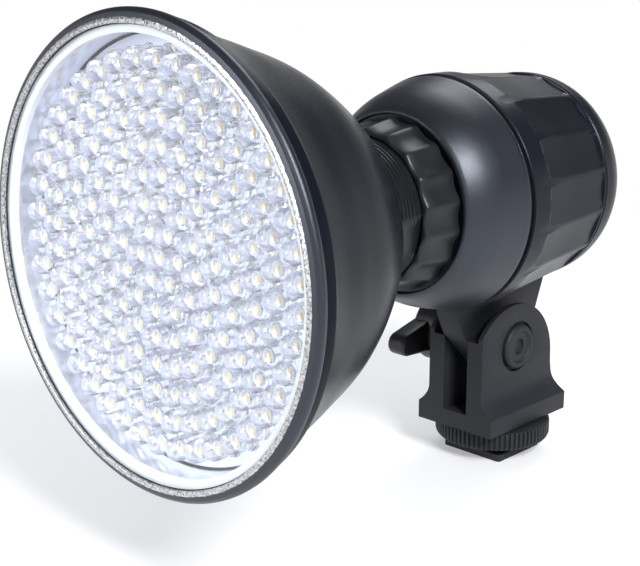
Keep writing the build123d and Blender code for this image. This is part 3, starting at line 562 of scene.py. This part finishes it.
# ---------------------------------------------------------------- neck and collar
thread = []
for index in range(THREAD_TURNS):
    station = -62.6 + index * THREAD_PITCH
    if station > -43.5:
        break
    thread += [(station, THREAD_ROOT), (station + 0.28, THREAD_TOP), (station + 0.5, THREAD_TOP),
               (station + 0.78, THREAD_ROOT)]
neck = bmesh.new()
neck_rows = [(-68.8, THREAD_TOP), (BOWL_BACK, THREAD_TOP), (-63.4, THREAD_TOP)] + thread
neck_rows += [(-43.0, THREAD_TOP), (-39.8, THREAD_TOP), (-39.8, 14.6), (-70.2, 14.6), (-70.2, 20.2), (-68.8, 20.2)]
rows = []
for station, radius in neck_rows:
    row = []
    for step in range(180):
        angle = 2 * pi * step / 180
        bend = atan2(sin(angle + radians(KEYWAY_TURN)), cos(angle + radians(KEYWAY_TURN)))
        size = radius
        if BOWL_BACK < station < -41.2 and radius > 16 and abs(bend) < 0.3:
            size = min(radius, KEYWAY / cos(bend))
        row.append(spot(station, size, angle))
    rows.append(row)
grid(neck, rows, True)
finish_mesh("neck_body", neck, COLLAR, "head", ["neck_tube"], 40.0)


COLLAR_STEPS = SCALLOPS * 16
collar = bmesh.new()
rows = []
for station, drop in ((COLLAR_FRONT, 0.75), (COLLAR_FRONT + 0.25, 0.3), (COLLAR_FRONT + 0.7, 0.05),
                      (COLLAR_FRONT + 3, 0.0), (-46.5, 0.0), (-44.0, 0.0), (COLLAR_REAR - 0.4, 0.0),
                      (COLLAR_REAR, 0.35)):
    outer = COLLAR_RADIUS + COLLAR_GROWTH * (station - COLLAR_FRONT) / (COLLAR_REAR - COLLAR_FRONT)
    row = []
    for step in range(COLLAR_STEPS):
        angle = 2 * pi * step / COLLAR_STEPS
        low = hollow(angle, SCALLOPS, COLLAR_RADIUS - SCALLOP_DEPTH + SCALLOP_CUTTER,
                     SCALLOP_CUTTER - (outer - COLLAR_RADIUS))
        row.append(spot(station, blend_low(outer, low, 0.5) - drop, angle))
    rows.append(row)
rows += [circle_row(station, radius, COLLAR_STEPS) for station, radius in (
    (COLLAR_REAR, COLLAR_BORE), (COLLAR_FRONT + 0.3, COLLAR_BORE), (COLLAR_FRONT, 17.8))]
grid(collar, rows, True)
finish_mesh("collar_body", collar, COLLAR, "collar", ["lock_collar"], 40.0)

# ---------------------------------------------------------------- dome, gasket, barrel and cap
dome_line = soften([(-41.3, 17.25), (-41.3, 21.4, 0.2), (-42.35, 21.45, 0.15), (DOME, 22.0, 0.1)], 4)
dome_line += curve([(-42.3, 22.3), (-41.2, 23.35), (-38.0, 25.3), (-34.6, 26.7), (-31.0, 27.7), (-26.75, 28.8)], 6)
dome_line += soften([(-26.45, 28.87, 0.2), (DOME_REAR, 28.55, 0.2), (DOME_REAR, 26.25), (-30.8, 26.25),
                     (-30.8, 25.2), (-39.8, 22.6), (-39.8, 17.25)], 3)
lathe("dome_body", dome_line, SATIN, "head", ["dome_shell"], 192)
lathe("groove_ring", soften([(DOME_REAR, 26.2), (DOME_REAR, 28.2, 0.2), (BARREL, 28.2, 0.2), (BARREL, 26.2)]),
      DARK_RUBBER_AND_SHADE, "head", ["seam_gasket"], 160)

BARREL_STEPS = FLUTES * 20


def barrel_radius(station):
    """The barrel's full radius at a station, before its flutes."""
    if station <= RING_REAR:
        return RING_RADIUS
    if station <= MIDDLE:
        return RING_RADIUS + (MIDDLE_RADIUS - RING_RADIUS) * (station - RING_REAR) / (MIDDLE - RING_REAR)
    return MIDDLE_RADIUS + (TAIL_RADIUS - MIDDLE_RADIUS) * (station - MIDDLE) / (BARREL_REAR - MIDDLE)


def flute_size(station):
    """The flute cutter's radius at a station."""
    run = RING_REAR + FLUTE_RUN_OUT
    full = FLUTE_CUTTER + FLUTE_BITE
    if station < run:
        return full - FLUTE_BITE * (run - station) / FLUTE_RUN_OUT
    if station < MIDDLE:
        return full + FLUTE_GROWTH * (station - run) / (MIDDLE - run)
    return full + FLUTE_GROWTH + FLUTE_GROWTH * (station - MIDDLE) / (BARREL_REAR - FLUTE_END - MIDDLE)


def fluted_radius(station, angle):
    """The radius that the flutes leave at a station and an angle."""
    return hollow(angle, FLUTES, FLUTE_DISTANCE, flute_size(station))


# Where the flutes start, found by halving at each angle, so that a row of points lies on their cusped line
starts = []
for step in range(BARREL_STEPS):
    angle = 2 * pi * step / BARREL_STEPS
    low, high = RING_REAR - 0.5, RING_REAR + 6.0
    for _ in range(30):
        middle = (low + high) / 2
        if fluted_radius(middle, angle) < barrel_radius(middle):
            high = middle
        else:
            low = middle
    starts.append(high)
rows = [circle_row(station, radius, BARREL_STEPS) for station, radius in (
    (-30.8, 24.6), (-30.8, 26.2), (BARREL, 26.2), (BARREL, 28.85), (BARREL + 0.1, 29.07),
    (BARREL + 0.3, RING_RADIUS), (BARREL + 1.5, RING_RADIUS), (BARREL + 3.5, RING_RADIUS))]
for share in (-0.25, 0.0, 0.015, 0.03, 0.06, 0.14, 0.22, 0.35, 0.5, 0.65, 0.8, 0.9, 1.0):
    row = []
    for step in range(BARREL_STEPS):
        angle = 2 * pi * step / BARREL_STEPS
        start = starts[step]
        station = start + (share if share < 0 else share * (BARREL_REAR - FLUTE_END - start))
        radius = barrel_radius(station)
        if share > 0:
            radius = blend_low(radius, fluted_radius(station, angle), FLUTE_SOFT)
        row.append(spot(station, radius, angle))
    rows.append(row)
rows += [circle_row(station, radius, BARREL_STEPS) for station, radius in (
    (BARREL_REAR - 0.6, TAIL_RADIUS), (BARREL_REAR - 0.15, 26.68), (BARREL_REAR, 26.5), (BARREL_REAR, 24.6))]
barrel = bmesh.new()
grid(barrel, rows, True)
finish_mesh("barrel_body", barrel, FLUTED, "head", ["barrel_shell"], 25.0)

cap_line = soften([(2.3, 23.0), (2.3, 24.3, 0.2), (CAP, 24.3), (CAP, 26.45, 0.1)], 3)
cap_line += curve([(CAP + 0.25, TAIL_RADIUS), (12.0, 26.3), (15.0, 25.2), (17.4, 23.5), (18.9, 21.0),
                   (REAR, 18.2)], 6)
cap_line += soften([(REAR, 17.6), (REAR, 6.4, 0.3), (REAR - 0.35, 5.95, 0.2), (17.7, 5.9), (17.7, 21.0),
                    (13.9, 23.0)], 3)
lathe("cap_body", cap_line, FLUTED, "battery", ["rear_cap"], 192)
lathe("button_cap", soften([(19.1, 0.0), (19.3, 4.6, 0.4), (19.3, 5.6, 0.5), (17.5, 5.6), (17.5, 6.2), (16.7, 6.2),
                            (16.7, 0.0)]), KNOB, "button", ["power_button"], 64, False)

# ---------------------------------------------------------------- bracket
CUT_REACH, CUT_TOP = 20, 50


def slot_tool(half, low):
    """A cutter as wide as a slot, through the bracket from front to back and open at the top."""
    return loose(prism([(-half, low), (half, low), (half, CUT_TOP), (-half, CUT_TOP)], "Y", -CUT_REACH, CUT_REACH))


def pivot_tool(radius, count, low=-CUT_REACH):
    """A round cutter along the pivot, from low to past the +X side."""
    return loose(prism(round_outline((PIVOT_Y, PIVOT_Z), radius, count), "X", low, CUT_REACH))


ear_arc = arc_through((13.4, 25.2), (-3.4, 41.8), (-16.6, 35.1), 44)
flare_rear = bezier((16.0, BRACKET_STEP), (13.4, 19.7), (13.4, 25.2), 8)[:-1]
side = [(-16.6, BRACKET_FOOT), (16.0, BRACKET_FOOT)] + flare_rear + ear_arc
flare_side = bezier((FLARE_HALF, BRACKET_STEP), (CHEEK_HALF, 16.85), (CHEEK_HALF, 19.5))
right = [(FLARE_HALF, BRACKET_FOOT)] + flare_side + [(CHEEK_HALF, 43.0)]
front = right + [(-x, z) for x, z in reversed(right)]
body = loose(prism(side, "X", -BRACKET_HALF, BRACKET_HALF))
profile = loose(prism(front, "Y", -17.0, 17.0))
slot_cut = slot_tool(SLOT_HALF, SLOT_FLOOR)
shoulder_cut = slot_tool(SHOULDER_HALF, SHOULDER)
bore = pivot_tool(3.05, 32)
sink = pivot_tool(6.65, 64, 7.4)
mesh = carve(body, [("INTERSECT", profile), ("DIFFERENCE", slot_cut), ("DIFFERENCE", shoulder_cut),
                    ("DIFFERENCE", bore), ("DIFFERENCE", sink)], 0.6, 3, 28.0)
finish_mesh("bracket_body", mesh, BRACKET, "mount", ["clevis_bracket"], 30.0)

# ---------------------------------------------------------------- tongue
def touch(point, way):
    """The angle at which an edge from an outside point meets the tongue's round nose."""
    reach, rise = point[0] - PIVOT_Y, point[1] - PIVOT_Z
    return degrees(atan2(rise, reach) + way * acos(TONGUE_NOSE / hypot(reach, rise)))


front_knee, rear_knee = (-17.4, 34.6), (12.9, 36.5)
start = touch(front_knee, 1)
tongue_side = round_outline((PIVOT_Y, PIVOT_Z), TONGUE_NOSE, 32, start, touch(rear_knee, -1) + 360 - start)
tongue_side += [rear_knee, (16.5, 45.6), (7.9, 45.6), (7.9, 48.2), (-21.4, 47.5)]
tongue_side += bezier((-21.4, 43.5), (-19.4, 37.65), front_knee)
plate = loose(prism(tongue_side, "X", -TONGUE_HALF, TONGUE_HALF))
mesh = carve(plate, [("DIFFERENCE", pivot_tool(3.1, 32))], 0.3, 2, 35.0)
finish_mesh("tongue_body", mesh, BRACKET, "head", ["tilt_tongue"], 30.0)


# ---------------------------------------------------------------- pieces on the pivot
bolt_line = soften([(8.2, 0.0), (8.2, 1.9, 0.1), (9.1, 2.1, 0.15), (9.05, 3.9, 0.4), (9.6, 4.4, 0.3),
                    (9.6, 5.3, 0.5), (9.0, BOLT_HEAD, 0.4), (7.4, BOLT_HEAD), (7.4, PIN_RADIUS),
                    (-16.5, PIN_RADIUS, 0.3), (-16.5, 0.0)], 4)
spin("bolt_body", bolt_line, BRACKET, "mount", ["pivot_bolt"], 64, False)
spin("washer_body", soften([(-8.6, 3.05), (-8.6, 7.0, 0.1), (-9.2, 7.0, 0.1), (-9.2, 3.05)]), STEEL, "mount",
     ["knob_washer"])

wing = []
for way in (1, -1):
    arc = round_outline((way * WING_REACH, 0.0), WING_END, 12, -90.0 if way > 0 else 90.0, 180.0)
    wing += [(0.0, -WING_ROOT * way)] + arc
turn = radians(WING_TURN)
wing = [(PIVOT_Y + a * cos(turn) - b * sin(turn), PIVOT_Z + a * sin(turn) + b * cos(turn)) for a, b in wing]
bar = loose(prism(wing, "X", KNOB_OUT, KNOB_OUT + WING_DEPTH))
mesh = carve(bar, [], 0.9, 4, 35.0)
finish_mesh("knob_wings", mesh, KNOB, "knob", (), 40.0)
hub_line = soften([(KNOB_IN, 5.0), (KNOB_IN, 8.2, 0.5), (KNOB_OUT + 0.3, 9.4, 1.4), (KNOB_OUT + 0.05, 6.0, 0.5),
                   (KNOB_OUT + 0.6, 5.0, 0.4), (KNOB_OUT + 0.6, 0.0), (-17.5, 0.0), (-17.5, 5.0)], 5)
spin("knob_hub", hub_line, KNOB, "knob", ["tilt_knob"], 96, False)

# ---------------------------------------------------------------- lock wheel and foot
wheel = bmesh.new()
WHEEL_STEPS = WHEEL_RIBS * RIB_STEPS
rows = []
for height, radius, depth in ((WHEEL_LOW, 13.9, 0.0), (4.0, 14.5, 0.25), (4.5, 14.95, 0.45), (5.2, 15.2, 0.5),
                              (8.0, 15.2, 0.5), (8.5, 15.1, 0.45), (8.75, 14.8, 0.2), (WHEEL_HIGH, 14.4, 0.0),
                              (WHEEL_HIGH, WHEEL_BORE, 0.0), (WHEEL_LOW, WHEEL_BORE, 0.0)):
    row = []
    for step in range(WHEEL_STEPS):
        angle = 2 * pi * step / WHEEL_STEPS
        size = radius - (depth if step % RIB_STEPS in (0, RIB_STEPS - 1) else 0.0)
        row.append(Vector((size * cos(angle), size * sin(angle), height)) * MM)
    rows.append(row)
grid(wheel, rows, True)
finish_mesh("wheel_body", wheel, BRACKET, "wheel", ["shoe_wheel"], 30.0)

foot_outline = soften([(x * FOOT_HALF_X, y * FOOT_HALF_Y, FOOT_CORNER)
                       for x, y in ((-1, -1), (1, -1), (1, 1), (-1, 1))], 5)
plate = loose(prism(foot_outline, "Z", 0.0, FOOT_THICK))
stem = loose(prism(round_outline((0, 0), STEM_RADIUS, 64), "Z", FOOT_THICK - 0.1, BRACKET_FOOT))
mesh = carve(plate, [("UNION", stem)], 0.25, 2, 40.0)
finish_mesh("foot_body", mesh, BRACKET, "mount", ["shoe_foot"], 30.0)

# ---------------------------------------------------------------- kept frame nodes get their own finish
KEPT = {"foot_screw": STEEL, "knob_insert": BRASS, "tongue_screws": STEEL, "driver_board": BOARD_WHITE,
        "board_standoffs": STEEL, "battery_sled": KNOB, "battery_cells": CELL, "contact_leaves": STEEL,
        "tail_switch": KNOB}
for name, material in KEPT.items():
    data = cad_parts[name].data
    data.materials.clear()
    data.materials.append(material)


# ---------------------------------------------------------------- stage
def seen_rays(tree):
    """A mask of the rays that see the background: from the camera, off gloss and through glass."""
    path = node(tree, "ShaderNodeLightPath")
    either = node(tree, "ShaderNodeMath", operation="MAXIMUM")
    seen = node(tree, "ShaderNodeMath", operation="MAXIMUM")
    tree.links.new(path.outputs["Is Camera Ray"], either.inputs[0])
    tree.links.new(path.outputs["Is Glossy Ray"], either.inputs[1])
    tree.links.new(either.outputs[0], seen.inputs[0])
    tree.links.new(path.outputs["Is Transmission Ray"], seen.inputs[1])
    return seen.outputs[0]


def floor_material():
    """Matt pale floor that keeps the object's shadow near it and fades to plain white further off."""
    made = bpy.data.materials.new("floor_white")
    made.use_nodes = True
    tree = made.node_tree
    link = tree.links.new
    shader = tree.nodes["Principled BSDF"]
    shader.inputs["Base Color"].default_value = (0.7, 0.7, 0.71, 1)
    shader.inputs["Roughness"].default_value = 0.95
    shader.inputs["Specular IOR Level"].default_value = 0.0
    lift = node(tree, "ShaderNodeEmission", in_Strength=0.32)
    white = node(tree, "ShaderNodeEmission", in_Strength=1.0)
    lit = node(tree, "ShaderNodeAddShader")
    place = node(tree, "ShaderNodeTexCoord")
    reach = node(tree, "ShaderNodeVectorMath", operation="LENGTH")
    far = node(tree, "ShaderNodeMapRange", interpolation_type="SMOOTHSTEP", in_1=0.11, in_2=0.27)
    bright = node(tree, "ShaderNodeMixShader")
    chosen = node(tree, "ShaderNodeMixShader")
    link(shader.outputs[0], lit.inputs[0])
    link(lift.outputs[0], lit.inputs[1])
    link(place.outputs["Object"], reach.inputs[0])
    link(reach.outputs["Value"], far.inputs[0])
    link(far.outputs[0], bright.inputs[0])
    link(lit.outputs[0], bright.inputs[1])
    link(white.outputs[0], bright.inputs[2])
    link(seen_rays(tree), chosen.inputs[0])
    link(shader.outputs[0], chosen.inputs[1])
    link(bright.outputs[0], chosen.inputs[2])
    link(chosen.outputs[0], tree.nodes["Material Output"].inputs["Surface"])
    return made


floor_outline = [(x * FLOOR_HALF, y * FLOOR_HALF) for x, y in ((-1, -1), (1, -1), (1, 1), (-1, 1))]
floor = loose(prism(floor_outline, "Z", -2.0, -0.02), "floor")
floor.data.materials.append(floor_material())

# White below and at the horizon, dimmer overhead for gloss alone, and a soft fill for matt surfaces
world = bpy.data.worlds.new("studio")
bpy.context.scene.world = world
world.use_nodes = True
tree = world.node_tree
tree.nodes.clear()
out = node(tree, "ShaderNodeOutputWorld")
soft = node(tree, "ShaderNodeBackground", in_Color=(0.88, 0.92, 1.0, 1), in_Strength=0.4)
plain = node(tree, "ShaderNodeBackground", in_Color=(1, 1, 1, 1), in_Strength=1.0)
mix = node(tree, "ShaderNodeMixShader")
place = node(tree, "ShaderNodeTexCoord")
split = node(tree, "ShaderNodeSeparateXYZ")
ceiling = node(tree, "ShaderNodeMapRange", interpolation_type="SMOOTHSTEP", in_1=-0.05, in_2=0.35, in_3=1.0,
               in_4=0.12)
path = node(tree, "ShaderNodeLightPath")
full = node(tree, "ShaderNodeMath", operation="MAXIMUM")
strength = node(tree, "ShaderNodeMath", operation="MAXIMUM")
link = tree.links.new
link(place.outputs["Generated"], split.inputs[0])
link(split.outputs["Z"], ceiling.inputs[0])
link(path.outputs["Is Camera Ray"], full.inputs[0])
link(path.outputs["Is Transmission Ray"], full.inputs[1])
link(full.outputs[0], strength.inputs[0])
link(ceiling.outputs[0], strength.inputs[1])
link(strength.outputs[0], plain.inputs["Strength"])
link(seen_rays(tree), mix.inputs[0])
link(soft.outputs[0], mix.inputs[1])
link(plain.outputs[0], mix.inputs[2])
link(mix.outputs[0], out.inputs["Surface"])


def area(name, place, target, size, power, colour=(1, 1, 1)):
    """A soft lamp at a place, in metres, turned to a target."""
    lamp = bpy.data.lights.new(name, "AREA")
    lamp.shape = "DISK"
    lamp.size = size
    lamp.energy = power
    lamp.color = colour
    made = bpy.data.objects.new(name, lamp)
    made.location = place
    made.rotation_euler = (Vector(target) - Vector(place)).to_track_quat("-Z", "Y").to_euler()
    bpy.context.scene.collection.objects.link(made)
    return made


area("key", (0.58, -0.28, 0.55), (0, -0.02, 0.07), 0.26, 7.0)
area("front", (-0.2, -0.85, 0.3), (0, -0.06, 0.07), 0.5, 4.4, (0.96, 0.98, 1.0))
area("back_top", (-0.22, 0.52, 0.67), (0, 0, 0.07), 0.5, 2.6, (0.95, 0.97, 1.0))

# ---------------------------------------------------------------- camera
lens = bpy.data.cameras.new("camera")
lens.sensor_width = 36.0
lens.lens = CAMERA_LENS
lens.clip_start = 0.01
camera = bpy.data.objects.new("camera", lens)
camera.location = CAMERA_PLACE
camera.rotation_euler = (radians(90 - CAMERA_DIP), 0.0, radians(CAMERA_TURN))
bpy.context.scene.collection.objects.link(camera)
bpy.context.scene.camera = camera

bpy.context.scene.view_settings.view_transform = "Standard"
